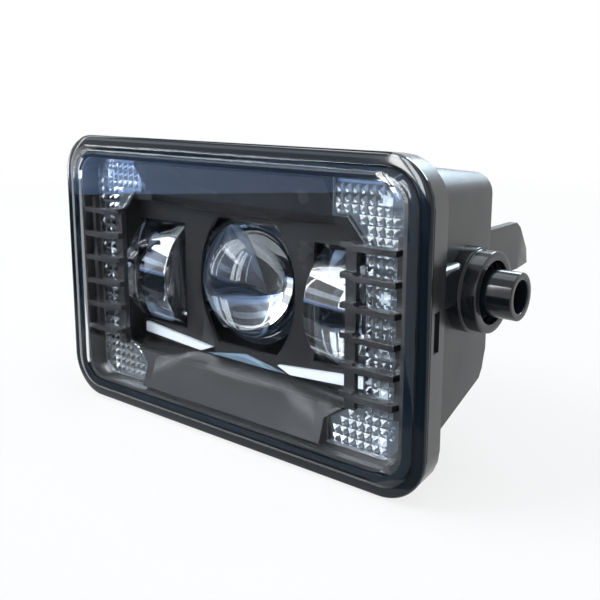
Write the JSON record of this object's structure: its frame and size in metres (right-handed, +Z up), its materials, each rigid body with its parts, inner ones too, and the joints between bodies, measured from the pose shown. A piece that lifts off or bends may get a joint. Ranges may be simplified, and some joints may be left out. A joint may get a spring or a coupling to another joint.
{
  "type": "fog light",
  "caption": "Rectangular LED fog light with three projector lenses between prism light guides, a clear stepped cover, and a drafted housing that tilts on two hollow side pins.",
  "frame": {"origin": "middle of the pivot axis, halfway between the two side pins", "axes": "+X along the pivot axis, to the right of someone who faces the lens; +Y rearwards, away from the lens; +Z up"},
  "size_m": [0.1724, 0.0773, 0.094],
  "materials": {
    "clear_cover": "clear gloss",
    "clear_optic": "clear gloss",
    "moulded_grey": "semi-matt moulded",
    "gloss_black": "gloss",
    "trim_black": "gloss",
    "bright_trim": "satin bright",
    "blue_grey_trim": "metallic gloss",
    "mirror": "mirror",
    "seal_rubber": "matt",
    "cast_aluminium": "black anodised",
    "circuit_board": "white solder mask",
    "driver_green": "green solder mask",
    "screw_steel": "zinc plated",
    "terminal_brass": "plain"
  },
  "bodies": {
    "pivots": {"pivot_bush_right": "gloss_black", "pivot_bush_left": "gloss_black"},
    "lamp": {"outer_lens": "clear_cover", "centre_lens": "clear_optic", "side_lens_right": "clear_optic", "side_lens_left": "clear_optic", "light_guide_right": "clear_optic", "light_guide_left": "clear_optic", "housing": "moulded_grey", "centre_lens_holder": "gloss_black", "connector_inlet": "gloss_black", "vent_cap": "gloss_black", "rib_comb_right": "gloss_black", "rib_comb_left": "gloss_black", "side_lens_holder_right": "gloss_black", "side_lens_holder_left": "gloss_black", "trim_bezel": "trim_black", "accent_wing_right": "bright_trim", "accent_wing_left": "bright_trim", "accent_facet": "blue_grey_trim", "centre_reflector": "mirror", "side_reflector_right": "mirror", "side_reflector_left": "mirror", "lens_seal": "seal_rubber", "heat_sink_gasket": "seal_rubber", "heat_sink": "cast_aluminium", "led_board": "circuit_board", "guide_board_right": "circuit_board", "guide_board_left": "circuit_board", "driver_board": "driver_green", "heat_sink_screw_1": "screw_steel", "heat_sink_screw_2": "screw_steel", "heat_sink_screw_3": "screw_steel", "heat_sink_screw_4": "screw_steel", "terminal_blade_1": "terminal_brass", "terminal_blade_2": "terminal_brass"}
  },
  "joints": [
    {"name": "aim_tilt", "type": "hinge", "parent": "pivots", "child": "lamp", "pos_m": [0, 0, 0], "axis": [1, 0, 0], "range_deg": [-10, 10]}
  ]
}
